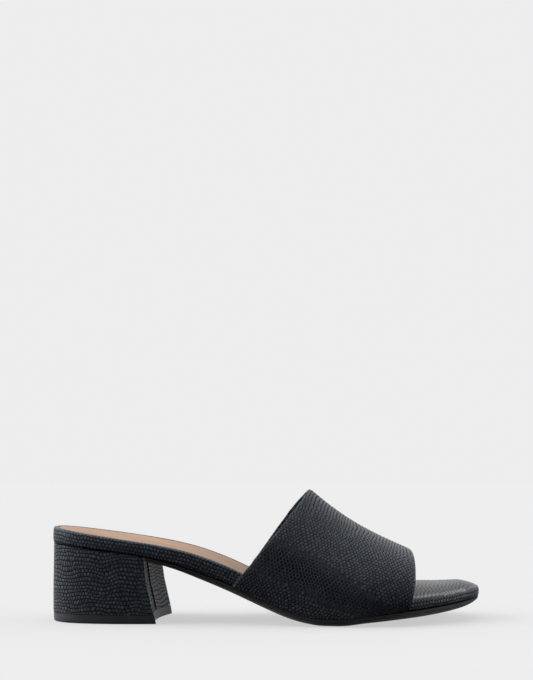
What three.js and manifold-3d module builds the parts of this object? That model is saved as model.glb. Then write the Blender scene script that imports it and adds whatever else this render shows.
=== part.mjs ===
// Open-backed heeled sandal for the right foot, with one wide band over the instep.
// Millimetres, +X to the toe, +Y to the inner side of the foot, +Z up, floor at Z = 0.
import * as THREE from 'three';
import { mergeVertices } from 'three/addons/utils/BufferGeometryUtils.js';
import Module from 'manifold-3d';

const wasm = await Module();
wasm.setup();

// Driving sizes
const footLength = 243.4;
const ballWidth = 83.3;
const heelHeight = 43.6;
const heelTurn = 5.6;
const heelReach = 63.2;
const heelInset = 1.0;
const breastSag = 4;
const coverSeamSide = 4;
const coverLap = 0.5;
const liftThickness = 4.9;
const liftBevel = 0.5;
const toeSpring = 9;
const soleThickness = 3.5;
const soleMargin = 0.2;
const soleCamber = 0.6;
const soleBevel = 1.5;
const soleTipSetback = 0.8;
const soleTipRun = 14;
const grooveHeight = 0.35;
const grooveDepth = 0.5;
const footbedEdge = 9.4;
const footbedCrown = 4.9;
const edgeRound = 1.7;
const toeRound = 2.2;
const padEndRun = 12;
const padBackWidth = 28;
const padMarginRise = 0.6;
const footbedBevel = 0.7;
const sockReach = 165;
const sockMargin = 3;
const sockThickness = 1;
const sockBevel = 0.3;
const sockProud = 0.1;
const sockStepRun = 4;
const instepHeight = 73.3;
const ridgeOffset = 3;
const vampWall = 2;
const rimRound = 0.7;
const seam = 0.3;

// Outline of the footbed in plan: along as a share of footLength, each side as a share of ballWidth.
// The tip of the toe lies to the inner side, so its two sides meet off the middle line.
const outline = [
  { along: 0.00, outer: 0.000, inner: 0.000 },
  { along: 0.012, outer: 0.140, inner: 0.140 },
  { along: 0.04, outer: 0.236, inner: 0.236 },
  { along: 0.08, outer: 0.298, inner: 0.298 },
  { along: 0.14, outer: 0.338, inner: 0.337 },
  { along: 0.20, outer: 0.350, inner: 0.346 },
  { along: 0.25, outer: 0.348, inner: 0.335 },
  { along: 0.33, outer: 0.334, inner: 0.294 },
  { along: 0.42, outer: 0.341, inner: 0.266 },
  { along: 0.50, outer: 0.384, inner: 0.298 },
  { along: 0.58, outer: 0.444, inner: 0.378 },
  { along: 0.64, outer: 0.480, inner: 0.444 },
  { along: 0.70, outer: 0.492, inner: 0.492 },
  { along: 0.76, outer: 0.472, inner: 0.508 },
  { along: 0.83, outer: 0.414, inner: 0.486 },
  { along: 0.90, outer: 0.312, inner: 0.426 },
  { along: 0.95, outer: 0.204, inner: 0.346 },
  { along: 0.98, outer: 0.096, inner: 0.260 },
  { along: 0.994, outer: 0.000, inner: 0.190 },
  { along: 1.00, outer: -0.096, inner: 0.096 },
];

// Side profile: along as a share of footLength, rise of the heel pitch, spring of toeSpring,
// edge of footbedEdge, crown of footbedCrown, sole of soleThickness, camber of soleCamber.
const profile = [
  { along: 0.00, rise: 1.000, spring: 0.00, edge: 0.97, crown: 0.08, sole: 0.50, camber: 0.00 },
  { along: 0.05, rise: 0.966, spring: 0.00, edge: 0.91, crown: 0.08, sole: 0.50, camber: 0.00 },
  { along: 0.10, rise: 0.928, spring: 0.00, edge: 0.87, crown: 0.08, sole: 0.50, camber: 0.00 },
  { along: 0.15, rise: 0.893, spring: 0.00, edge: 0.83, crown: 0.08, sole: 0.50, camber: 0.00 },
  { along: 0.20, rise: 0.853, spring: 0.00, edge: 0.80, crown: 0.08, sole: 0.50, camber: 0.00 },
  { along: 0.25, rise: 0.797, spring: 0.00, edge: 0.83, crown: 0.08, sole: 0.54, camber: 0.00 },
  { along: 0.30, rise: 0.715, spring: 0.00, edge: 0.92, crown: 0.08, sole: 0.62, camber: 0.00 },
  { along: 0.35, rise: 0.611, spring: 0.00, edge: 1.00, crown: 0.08, sole: 0.80, camber: 0.10 },
  { along: 0.40, rise: 0.499, spring: 0.00, edge: 1.00, crown: 0.08, sole: 0.95, camber: 0.25 },
  { along: 0.45, rise: 0.366, spring: 0.00, edge: 0.97, crown: 0.08, sole: 1.00, camber: 0.45 },
  { along: 0.50, rise: 0.221, spring: 0.00, edge: 0.91, crown: 0.08, sole: 1.00, camber: 0.70 },
  { along: 0.55, rise: 0.090, spring: 0.00, edge: 0.85, crown: 0.08, sole: 1.00, camber: 0.90 },
  { along: 0.58, rise: 0.036, spring: 0.00, edge: 0.82, crown: 0.08, sole: 1.00, camber: 1.00 },
  { along: 0.60, rise: 0.014, spring: 0.00, edge: 0.80, crown: 0.08, sole: 1.00, camber: 1.00 },
  { along: 0.618, rise: 0.000, spring: 0.00, edge: 0.78, crown: 0.08, sole: 1.00, camber: 1.00 },
  { along: 0.668, rise: 0.000, spring: 0.00, edge: 0.74, crown: 0.08, sole: 1.00, camber: 1.00 },
  { along: 0.70, rise: 0.000, spring: 0.12, edge: 0.70, crown: 0.20, sole: 1.00, camber: 1.00 },
  { along: 0.77, rise: 0.000, spring: 0.29, edge: 0.67, crown: 0.78, sole: 1.00, camber: 1.00 },
  { along: 0.85, rise: 0.000, spring: 0.49, edge: 0.65, crown: 1.06, sole: 1.00, camber: 0.80 },
  { along: 0.90, rise: 0.000, spring: 0.64, edge: 0.62, crown: 0.86, sole: 0.96, camber: 0.60 },
  { along: 0.94, rise: 0.000, spring: 0.78, edge: 0.63, crown: 0.73, sole: 0.85, camber: 0.40 },
  { along: 0.97, rise: 0.000, spring: 0.90, edge: 0.62, crown: 0.74, sole: 0.70, camber: 0.20 },
  { along: 1.00, rise: 0.000, spring: 1.00, edge: 0.62, crown: 0.78, sole: 0.50, camber: 0.00 },
];

// Sections of the heel: height as a share from floor to seat, reach of the breast corners as a
// share of heelReach, inset of the sides and back as a share of heelInset.
const heelSections = [
  { height: 0.00, reach: 1.000, inset: 1.0 },
  { height: 0.28, reach: 0.963, inset: 0.7 },
  { height: 0.50, reach: 0.932, inset: 0.6 },
  { height: 0.72, reach: 0.909, inset: 0.6 },
  { height: 1.00, reach: 0.896, inset: 0.6 },
];

// Sections of the band from its rear rim to its front rim. Shares of footLength: ridgeAt, the two
// lower edges outerAt and innerAt, and the two bows, how far each side curves forward.
// Shares of instepHeight: ridge. Shares of ballWidth: the two bellies. full is how square the
// shoulders are, and lean below 1 brings the section forward early as it climbs.
const bandSections = [
  { across: 0.00, ridgeAt: 0.603, ridge: 1.000, outerAt: 0.431, innerAt: 0.432,
    outerBelly: 0.420, innerBelly: 0.402, outerBow: -0.001, innerBow: -0.0055, full: 1.78, lean: 1.00 },
  { across: 0.25, ridgeAt: 0.652, ridge: 0.868, outerAt: 0.525, innerAt: 0.532,
    outerBelly: 0.462, innerBelly: 0.437, outerBow: -0.002, innerBow: -0.003, full: 1.83, lean: 0.95 },
  { across: 0.50, ridgeAt: 0.708, ridge: 0.742, outerAt: 0.625, innerAt: 0.635,
    outerBelly: 0.508, innerBelly: 0.495, outerBow: -0.001, innerBow: -0.001, full: 1.88, lean: 0.85 },
  { across: 0.75, ridgeAt: 0.766, ridge: 0.639, outerAt: 0.720, innerAt: 0.735,
    outerBelly: 0.524, innerBelly: 0.542, outerBow: 0.000, innerBow: 0.001, full: 1.92, lean: 0.75 },
  { across: 1.00, ridgeAt: 0.838, ridge: 0.531, outerAt: 0.811, innerAt: 0.826,
    outerBelly: 0.491, innerBelly: 0.538, outerBow: -0.001, innerBow: 0.001, full: 1.95, lean: 0.72 },
];

// Height of the band's widest place, as a share of each section's own height
const bellyShare = 0.22;

// How finely each form is faceted
const footbedRows = 57;
const soleRows = 44;
const sockRows = 36;
const heelRows = 15;
const crossColumns = 8;
const bandRows = 16;
const bandSideColumns = 12;

// Share of footLength over which the sole's edge moves out to the band
const bandCoverRun = 0.125;

// Share of the outsole's length over which its rows straighten out from the hollow breast
const solePullPart = 0.25;

// Shares of footLength between which the turn of the heel fades out
const turnFadeStart = 0.34;
const turnFadeEnd = 0.68;

const lateral = -1;
const medial = 1;
const { lerp, clamp, smoothstep, degToRad } = THREE.MathUtils;

// Smooth curve through one column of a table; it stays level between equal rows and never overshoots
function columnCurve(rows, key, name) {
  const at = rows.map((row) => row[key]);
  const value = rows.map((row) => row[name]);
  const pitch = at.slice(1).map((place, i) => (value[i + 1] - value[i]) / (place - at[i]));
  const slope = value.map((_, i) => {
    const before = pitch[Math.max(i - 1, 0)];
    const after = pitch[Math.min(i, pitch.length - 1)];
    return before * after > 0 ? (2 * before * after) / (before + after) : 0;
  });
  return (place) => {
    const spot = clamp(place, at[0], at[at.length - 1]);
    let i = 0;
    while (i < at.length - 2 && spot > at[i + 1]) i += 1;
    const span = at[i + 1] - at[i];
    const t = (spot - at[i]) / span;
    const rest = 1 - t;
    return value[i] * rest * rest * (1 + 2 * t) + value[i + 1] * t * t * (3 - 2 * t)
      + span * (slope[i] * t * rest * rest - slope[i + 1] * t * t * rest);
  };
}

// The back of the foot is turned outwards by heelTurn, which fades out towards the ball
function turnAt(x) {
  const fade = 1 - smoothstep(x, turnFadeStart * footLength, turnFadeEnd * footLength);
  return Math.tan(degToRad(heelTurn * fade));
}

// Distance along the foot's own bent middle line for a place in plan
function stationOf(x, y) {
  return x - y * turnAt(x);
}

// Place in plan for a distance along the foot and a distance to the side
function planPlace(station, y) {
  let x = station;
  for (let pass = 0; pass < 8; pass += 1) x = station + y * turnAt(x);
  return new THREE.Vector3(x, y, 0);
}

const outerPoints = outline.map((row) => planPlace(row.along * footLength, -row.outer * ballWidth));
const innerPoints = outline.slice(1, -1).reverse()
  .map((row) => planPlace(row.along * footLength, row.inner * ballWidth));
const edgeLine = new THREE.CatmullRomCurve3([...outerPoints, ...innerPoints], true, 'centripetal');

// Point of the footbed's edge, moved inwards by inset; t runs from 0 at the back to 0.5 at the tip
function edgePoint(side, t, inset) {
  const turn = side === lateral ? t : 1 - t;
  const step = 0.0005;
  const here = edgeLine.getPoint(turn);
  const ahead = edgeLine.getPoint((turn + step) % 1);
  const behind = edgeLine.getPoint((turn - step + 1) % 1);
  const along = ahead.sub(behind).normalize();
  return new THREE.Vector3(here.x - along.y * inset, here.y + along.x * inset, 0);
}

// Parameter of the edge at which it reaches a station
function edgeParameter(side, station, inset) {
  let low = 0;
  let high = 0.5;
  for (let pass = 0; pass < 40; pass += 1) {
    const middle = (low + high) / 2;
    const point = edgePoint(side, middle, inset);
    if (stationOf(point.x, point.y) < station) low = middle;
    else high = middle;
  }
  return (low + high) / 2;
}

const riseCurve = columnCurve(profile, 'along', 'rise');
const springCurve = columnCurve(profile, 'along', 'spring');
const edgeCurve = columnCurve(profile, 'along', 'edge');
const crownCurve = columnCurve(profile, 'along', 'crown');
const soleCurve = columnCurve(profile, 'along', 'sole');
const camberCurve = columnCurve(profile, 'along', 'camber');
const heelPitch = heelHeight - soleThickness - seam;

// How much lower the bottom is inside a row than at its edges; across is -1 and 1 at the edges
function camberDrop(station, across) {
  const flatPart = 0.4;
  return soleCamber * camberCurve(station / footLength) * (1 - smoothstep(Math.abs(across), flatPart, 1));
}

// Height of the outsole's upper face at its edges, or further in
function soleTop(station, across = 1) {
  const share = station / footLength;
  return heelPitch * riseCurve(share) + toeSpring * springCurve(share) + soleThickness
    + soleCamber * camberCurve(share) - camberDrop(station, across);
}

// Height of the tread, which is level on the floor under the middle of the ball
function treadHeight(station, across = 1) {
  return soleTop(station, across) - soleThickness * soleCurve(station / footLength);
}

// Height of the footbed's underside
function seatHeight(station, across = 1) {
  return soleTop(station, across) + seam;
}

// Height of the footbed's top at its edge
function footbedTop(station) {
  return seatHeight(station) + footbedEdge * edgeCurve(station / footLength);
}

// How far down the rounding of the footbed's upper edge starts; it is deepest at the toe
function edgeRoundDrop(station) {
  return lerp(edgeRound, toeRound, padShare(station));
}

// Share of the toe's padding that a station has, from none under the band to all of it at the toe
function padShare(station) {
  return clamp(crownCurve(station / footLength) / crownCurve(1), 0, 1) ** 2;
}

// Height of the padded top's border, which climbs a little towards the sock lining's margin
function padBorder(station) {
  return footbedTop(station) + padMarginRise * padShare(station);
}

// Rise of the padded top over its border; across is -1 and 1 at the two ends of a row. The rise
// fades out where the rows get short at the back, and rounds off towards the tip
function crownRise(station, across, rowWidth) {
  const full = footbedCrown * crownCurve(station / footLength);
  const toTip = clamp((footLength - station - sockMargin + seam) / padEndRun, 0, 1);
  const end = station < sockReach
    ? smoothstep(rowWidth, 0, padBackWidth)
    : Math.sin((Math.PI / 2) * toTip);
  return full * (1 - Math.abs(across) ** 3) * end;
}

// Grid in plan between two stations; pull moves the middle of a row backwards
function planGrid({ from, to, inset, rows, pull = () => 0 }) {
  const start = [lateral, medial].map((side) => (from > 0 ? edgeParameter(side, from, inset) : 0));
  const end = [lateral, medial].map((side) => (
    to < footLength ? edgeParameter(side, to, inset) : 0.5));
  const grid = [];
  for (let i = 0; i <= rows; i += 1) {
    const share = i / rows;
    const outer = edgePoint(lateral, lerp(start[0], end[0], share), inset);
    const inner = edgePoint(medial, lerp(start[1], end[1], share), inset);
    const width = outer.distanceTo(inner);
    const line = [];
    for (let j = 0; j <= crossColumns; j += 1) {
      const across = (2 * j) / crossColumns - 1;
      const point = outer.clone().lerp(inner, j / crossColumns);
      point.x -= pull(share) * (1 - across * across);
      line.push({ point, across, width, station: stationOf(point.x, point.y) });
    }
    grid.push(line);
  }
  return grid;
}

// Gives each place of a plan grid its height
function raise(grid, height) {
  return grid.map((line) => line.map(({ point, across, width, station }) => (
    new THREE.Vector3(point.x, point.y, height(station, across, width)))));
}

// Geometry from triangles, with doubled corners merged and empty triangles dropped
function solidGeometry(triangles) {
  const soup = new THREE.BufferGeometry().setFromPoints(triangles.flat());
  const merged = mergeVertices(soup, 1e-3);
  const corners = merged.index.array;
  const kept = [];
  for (let i = 0; i < corners.length; i += 3) {
    const [a, b, c] = corners.slice(i, i + 3);
    if (a !== b && b !== c && c !== a) kept.push(a, b, c);
  }
  merged.setIndex(kept);
  return merged;
}

// Closed solid from grids of equal size, stacked from its lower to its upper face
function stackedSolid(levels) {
  const rows = levels[0].length - 1;
  const columns = levels[0][0].length - 1;
  const triangles = [];
  const addQuad = (a, b, c, d) => {
    if (a.distanceToSquared(c) <= b.distanceToSquared(d)) triangles.push([a, b, c], [a, c, d]);
    else triangles.push([a, b, d], [b, c, d]);
  };
  const lowest = levels[0];
  const highest = levels[levels.length - 1];
  for (let i = 0; i < rows; i += 1) {
    for (let j = 0; j < columns; j += 1) {
      addQuad(highest[i][j], highest[i + 1][j], highest[i + 1][j + 1], highest[i][j + 1]);
      addQuad(lowest[i][j], lowest[i][j + 1], lowest[i + 1][j + 1], lowest[i + 1][j]);
    }
  }
  const border = [];
  for (let i = 0; i < rows; i += 1) border.push([i, 0]);
  for (let j = 0; j < columns; j += 1) border.push([rows, j]);
  for (let i = rows; i > 0; i -= 1) border.push([i, columns]);
  for (let j = columns; j > 0; j -= 1) border.push([0, j]);
  for (let k = 0; k < levels.length - 1; k += 1) {
    border.forEach(([i, j], place) => {
      const [m, n] = border[(place + 1) % border.length];
      addQuad(levels[k][i][j], levels[k][m][n], levels[k + 1][m][n], levels[k + 1][i][j]);
    });
  }
  return solidGeometry(triangles);
}

// Solid for cutting, made from a closed geometry
function toManifold(geometry) {
  const mesh = new wasm.Mesh({
    numProp: 3,
    vertProperties: new Float32Array(geometry.attributes.position.array),
    triVerts: new Uint32Array(geometry.index.array),
  });
  return new wasm.Manifold(mesh);
}

// Geometry of a cut solid
function fromManifold(solid) {
  const mesh = solid.getMesh();
  const geometry = new THREE.BufferGeometry();
  geometry.setAttribute('position', new THREE.BufferAttribute(mesh.vertProperties, 3));
  geometry.setIndex([...mesh.triVerts]);
  return geometry;
}

// Depth of the step in the footbed's top that the sock lining lies in
function sockStep(station) {
  const past = sockReach + seam;
  return (sockThickness + seam - sockProud) * (1 - smoothstep(station, past, past + sockStepRun));
}

// Footbed: board and cushion wrapped in one leather, from heel to toe
function footbedGeometry() {
  const ring = (inset, height) => raise(
    planGrid({ from: 0, to: footLength, inset, rows: footbedRows }), height);
  const roundShare = 1 - Math.SQRT1_2;
  return stackedSolid([
    ring(footbedBevel, seatHeight),
    ring(0, (station) => seatHeight(station) + footbedBevel),
    ring(0, (station) => footbedTop(station) - edgeRoundDrop(station)),
    ring(edgeRound * roundShare, (station) => (
      footbedTop(station) - edgeRoundDrop(station) * roundShare)),
    ring(edgeRound, footbedTop),
    ring(sockMargin - seam, padBorder),
    ring(sockMargin - seam, (station, ...row) => (
      padBorder(station) + crownRise(station, ...row) - sockStep(station))),
  ]);
}

// Sock lining: one thin sheet let into the footbed's top, from the heel to under the band
function sockGeometry() {
  const ring = (inset, lift) => raise(
    planGrid({ from: 0, to: sockReach, inset, rows: sockRows }),
    (station, ...row) => padBorder(station) + crownRise(station, ...row)
      - sockStep(0) + seam + lift);
  return stackedSolid([
    ring(sockMargin, 0),
    ring(sockMargin, sockThickness - sockBevel),
    ring(sockMargin + sockBevel, sockThickness),
  ]);
}

const reachCurve = columnCurve(heelSections, 'height', 'reach');
const insetCurve = columnCurve(heelSections, 'height', 'inset');

// Shape of the heel in plan at a share of its height, with its hollow breast in front
function heelPlan(height, extraInset) {
  return planGrid({
    from: 0,
    to: heelReach * reachCurve(height),
    inset: heelInset * insetCurve(height) + extraInset,
    rows: heelRows,
    pull: (share) => breastSag * clamp(2 * share - 1, 0, 1),
  });
}

// Top lift: the rubber piece that the heel stands on
function liftGeometry() {
  const liftShare = liftThickness / heelHeight;
  return stackedSolid([
    raise(heelPlan(0, liftBevel), () => 0),
    raise(heelPlan(0, 0), () => liftBevel),
    raise(heelPlan(liftShare, 0), () => liftThickness),
  ]);
}

const blockBase = liftThickness + seam;
const blockShares = [0, 0.25, 0.5, 0.75, 1];

// Height in the heel block for a share from its base to its seat
function blockHeight(share, station) {
  return lerp(blockBase, soleTop(station), share);
}

// Share of the whole heel's height for a share of the block's height
function heelShare(share) {
  return lerp(blockBase / heelHeight, 1, share);
}

// Sheet along the breast between two shares of its width, from back to front of a depth
function breastSheet({ depth, from, to, shares }) {
  const columns = shares.map((share) => {
    const plan = heelPlan(heelShare(clamp(share, 0, 1)), 0);
    const front = plan[plan.length - 1];
    const outer = front[0].point;
    const inner = front[crossColumns].point;
    return front.map((_, j) => {
      const across = lerp(from, to, j / crossColumns);
      const point = outer.clone().lerp(inner, (across + 1) / 2);
      point.x -= breastSag * (1 - across * across) + depth;
      const height = blockHeight(share, stationOf(point.x, point.y));
      return new THREE.Vector3(point.x, point.y, height);
    });
  });
  return columns[0].map((_, i) => columns.map((column) => column[i]));
}

// Heel block in its cover, whose inner half laps over the outer half down the breast
function heelBlockGeometry() {
  const body = stackedSolid(blockShares.map((share) => raise(
    heelPlan(heelShare(share), 0), (station) => blockHeight(share, station))));
  const past = 0.1;
  const step = {
    from: -1 - past,
    to: (2 * coverSeamSide) / heelReach,
    shares: [-past, ...blockShares, 1 + past],
  };
  const underLap = stackedSolid([
    breastSheet({ ...step, depth: coverLap }),
    breastSheet({ ...step, depth: -coverLap }),
  ]);
  return fromManifold(toManifold(body).subtract(toManifold(underLap)));
}

// Share of the band's wall that the sole's edge follows at a station
function bandCover(station) {
  const rear = bandSections[0].outerAt * footLength;
  const front = bandSections[bandSections.length - 1].innerAt * footLength;
  const run = bandCoverRun * footLength;
  return smoothstep(station, rear - run, rear + run) * (1 - smoothstep(station, front - run, front + run));
}

// Moves the border of a grid outwards to where the band stands beside the footbed
function widenUnderBand(grid) {
  return grid.map((line) => {
    const outer = line[0].point;
    const inner = line[line.length - 1].point;
    const width = outer.distanceTo(inner);
    const reach = width > 0 ? (vampWall * bandCover(line[0].station)) / (width / 2) : 0;
    return line.map(({ point, across }) => {
      const shift = inner.clone().sub(outer).multiplyScalar(0.5 * across * reach);
      const moved = point.clone().add(shift);
      return { point: moved, across, station: stationOf(moved.x, moved.y) };
    });
  });
}

// Draws the tip of a grid back, so that the sole's edge stays behind the wrapped toe
function drawInTip(grid) {
  return grid.map((line) => line.map(({ point, across, station }) => {
    const moved = point.clone();
    moved.x -= soleTipSetback * smoothstep(station, footLength - soleTipRun, footLength);
    return { point: moved, across, station };
  }));
}

// Outsole: thin, from the heel's breast to the toe, with a groove round its side and a bevel below
function outsoleGeometry() {
  const start = heelReach * reachCurve(1) + seam;
  const pull = (share) => breastSag * clamp(1 - share / solePullPart, 0, 1);
  const ring = (inset, height) => raise(drawInTip(widenUnderBand(planGrid({
    from: start, to: footLength, inset: inset - soleMargin, rows: soleRows, pull,
  }))), height);
  const sideHeight = (station, share) => lerp(treadHeight(station), soleTop(station), share);
  const grooveShare = grooveHeight / soleThickness;
  return stackedSolid([
    ring(soleBevel, treadHeight),
    ring(grooveDepth / 3, (station) => sideHeight(station, 0.5 - grooveShare)),
    ring(grooveDepth, (station) => sideHeight(station, 0.5)),
    ring(0, (station) => sideHeight(station, 0.5 + grooveShare)),
    ring(0, soleTop),
  ]);
}

const bandCurve = Object.fromEntries(Object.keys(bandSections[0])
  .filter((name) => name !== 'across')
  .map((name) => [name, columnCurve(bandSections, 'across', name)]));

// Lower edge of the band's outer or inner face, beside the footbed and on the sole
function bandFoot(side, share, offset) {
  const at = side === lateral ? bandCurve.outerAt(share) : bandCurve.innerAt(share);
  const point = edgePoint(side, edgeParameter(side, at * footLength, -offset), -offset);
  point.z = seatHeight(stationOf(point.x, point.y));
  return point;
}

// Outer face of the band; share runs from rear to front rim, climb from -1 to 1 over the instep
function bandPoint(share, climb) {
  const side = climb < 0 ? lateral : medial;
  const foot = bandFoot(side, share, seam + vampWall);
  const bellyWidth = side === lateral ? bandCurve.outerBelly(share) : bandCurve.innerBelly(share);
  const bellySide = side * bellyWidth * ballWidth;
  const ridge = new THREE.Vector3(
    bandCurve.ridgeAt(share) * footLength, ridgeOffset, bandCurve.ridge(share) * instepHeight);
  const upward = 1 - Math.abs(climb);
  const lowerPart = 0.25;
  let height;
  let y;
  if (upward < lowerPart) {
    const part = upward / lowerPart;
    height = bellyShare * part;
    y = lerp(foot.y, bellySide, Math.sin((part * Math.PI) / 2));
  } else {
    const angle = ((upward - lowerPart) / (1 - lowerPart)) * (Math.PI / 2);
    const power = 2 / bandCurve.full(share);
    height = lerp(bellyShare, 1, Math.sin(angle) ** power);
    y = lerp(ridge.y, bellySide, Math.max(Math.cos(angle), 0) ** power);
  }
  const bow = side === lateral ? bandCurve.outerBow(share) : bandCurve.innerBow(share);
  const x = lerp(foot.x, ridge.x, height ** bandCurve.lean(share))
    + bow * footLength * Math.sin(Math.PI * height * height);
  return new THREE.Vector3(x, y, lerp(foot.z, ridge.z, height));
}

// Direction out of the band's face, and direction along it towards the toe
function bandDirections(share, climb) {
  const step = 0.004;
  const forward = bandPoint(Math.min(share + step, 1), climb)
    .sub(bandPoint(Math.max(share - step, 0), climb)).normalize();
  const inwards = bandPoint(share, Math.min(climb + step, 1))
    .sub(bandPoint(share, Math.max(climb - step, -1))).normalize();
  return { forward, outwards: forward.clone().cross(inwards).normalize() };
}

// Band: one hollow wall over the instep, open behind, in front and underneath, with round rims
function vampGeometry() {
  const outerFace = [];
  const innerFace = [];
  const rims = [];
  for (let i = 0; i <= bandRows; i += 1) {
    const share = i / bandRows;
    const lines = [[], [], []];
    for (let j = 0; j <= 2 * bandSideColumns; j += 1) {
      const climb = j / bandSideColumns - 1;
      const outer = bandPoint(share, climb);
      const { forward, outwards } = bandDirections(share, climb);
      const atFoot = Math.abs(climb) === 1;
      const inner = atFoot
        ? bandFoot(Math.sign(climb), share, seam)
        : outer.clone().addScaledVector(outwards, -vampWall);
      const rim = outer.clone().lerp(inner, 0.5);
      if (!atFoot && i === 0) rim.addScaledVector(forward, -rimRound);
      if (!atFoot && i === bandRows) rim.addScaledVector(forward, rimRound);
      lines[0].push(outer);
      lines[1].push(inner);
      lines[2].push(rim);
    }
    outerFace.push(lines[0]);
    innerFace.push(lines[1]);
    rims.push(lines[2]);
  }
  return stackedSolid([innerFace, rims, outerFace]);
}

// Finishes
const blackLeather = { color: 0x1b1c1e, roughness: 0.5, metalness: 0 };
const soleRubber = { color: 0x232426, roughness: 0.6, metalness: 0 };
const liftRubber = { color: 0x2b2c30, roughness: 0.55, metalness: 0 };
const tanLining = { color: 0xcda58c, roughness: 0.7, metalness: 0 };

function piece(name, geometry, finish) {
  const mesh = new THREE.Mesh(geometry, new THREE.MeshStandardMaterial(finish));
  mesh.name = name;
  return mesh;
}

const sandal = new THREE.Group();
sandal.add(
  piece('heel_lift', liftGeometry(), liftRubber),
  piece('heel_block', heelBlockGeometry(), blackLeather),
  piece('outsole', outsoleGeometry(), soleRubber),
  piece('footbed', footbedGeometry(), blackLeather),
  piece('sock_lining', sockGeometry(), tanLining),
  piece('vamp', vampGeometry(), blackLeather),
);

// The origin is on the floor, under the middle of the shoe
const bounds = new THREE.Box3().setFromObject(sandal);
const middle = bounds.getCenter(new THREE.Vector3());
sandal.position.set(-middle.x, -middle.y, -bounds.min.z);
sandal.updateMatrixWorld(true);

export default sandal;
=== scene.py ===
"""Looks of a block-heeled slide sandal in black lizard-embossed leather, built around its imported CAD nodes.

Everything is in metres in the frame of the CAD part: +X to the toe, +Y to the inner side of the foot, +Z up.
"""

import logging
import math
from dataclasses import dataclass
from enum import Enum

import bpy
import numpy as np
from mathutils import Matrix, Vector

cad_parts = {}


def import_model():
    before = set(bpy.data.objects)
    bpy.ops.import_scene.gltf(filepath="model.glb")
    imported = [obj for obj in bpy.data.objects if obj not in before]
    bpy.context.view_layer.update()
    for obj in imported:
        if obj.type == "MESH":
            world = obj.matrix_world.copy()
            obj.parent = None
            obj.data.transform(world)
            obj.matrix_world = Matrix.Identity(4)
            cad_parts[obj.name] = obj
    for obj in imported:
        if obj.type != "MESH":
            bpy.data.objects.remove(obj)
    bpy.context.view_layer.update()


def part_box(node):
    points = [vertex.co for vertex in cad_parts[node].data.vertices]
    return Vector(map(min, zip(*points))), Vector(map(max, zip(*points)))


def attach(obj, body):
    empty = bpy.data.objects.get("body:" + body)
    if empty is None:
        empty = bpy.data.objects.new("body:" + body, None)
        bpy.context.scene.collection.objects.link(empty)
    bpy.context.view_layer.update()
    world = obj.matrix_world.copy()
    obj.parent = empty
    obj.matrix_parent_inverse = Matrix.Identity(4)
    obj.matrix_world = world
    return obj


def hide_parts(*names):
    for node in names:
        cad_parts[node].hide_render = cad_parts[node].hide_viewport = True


LOG = logging.getLogger("sandal")
BODY = "root"
HIDE_MAP = "hide"
MM = 0.001
PER_METRE = 1000.0
FULL_TURN = 2 * math.pi
# Noise strays about a quarter from its middle, so times this it strays about as far as the named reach.
NOISE_SPREAD = 4.0
# Corners of a CAD mesh that are closer than this are one corner.
MERGE = 0.002 * MM
# Triangles that tilt and skew less than these degrees become one quad.
QUAD_TILT = 40
QUAD_SKEW = 60
# Times that subdivision splits each face in four.
SPLITS = 2


class Slot(Enum):
    """Material slots of the record."""

    BAND = "band_leather"
    HEEL = "heel_leather"
    FOOTBED = "footbed_leather"
    LINING = "tan_lining"
    SOLE = "sole_rubber"
    LIFT = "lift_rubber"


def linear(code: str) -> tuple[float, float, float, float]:
    """Turns an sRGB hex code into a linear colour.

    Args:
        code: Six hex digits.

    Returns:
        Red, green, blue and alpha for a shader socket.
    """
    parts = [int(code[i:i + 2], 16) / 255 for i in (0, 2, 4)]
    red, green, blue = (p / 12.92 if p <= 0.04045 else ((p + 0.055) / 1.055) ** 2.4 for p in parts)
    return red, green, blue, 1.0


def add_node(tree: bpy.types.NodeTree, kind: str, sockets: dict | None = None,
             **settings: object) -> bpy.types.Node:
    """Adds a node with its settings, its socket values and its links.

    Args:
        tree: Node tree that gets the node.
        kind: Blender's type name of the node.
        sockets: Input sockets by name or number, each with a value or with an output to link.
        settings: Properties of the node itself.

    Returns:
        The new node.
    """
    node = tree.nodes.new(kind)
    for name, value in settings.items():
        setattr(node, name, value)
    for name, value in (sockets or {}).items():
        if isinstance(value, bpy.types.NodeSocket):
            tree.links.new(value, node.inputs[name])
        else:
            node.inputs[name].default_value = value
    return node


def new_material(name: str) -> tuple[bpy.types.Material, bpy.types.NodeTree]:
    """Makes an empty node material.

    Args:
        name: Name of the finish.

    Returns:
        The material and its emptied node tree.
    """
    material = bpy.data.materials.new(name)
    material.use_nodes = True
    material.node_tree.nodes.clear()
    return material, material.node_tree


def surface(tree: bpy.types.NodeTree, sockets: dict) -> None:
    """Ends a material with a principled shader.

    Args:
        tree: Node tree of the material.
        sockets: Sockets of the shader, with values or links.
    """
    shader = add_node(tree, "ShaderNodeBsdfPrincipled", sockets)
    add_node(tree, "ShaderNodeOutputMaterial", {"Surface": shader.outputs[0]})


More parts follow.
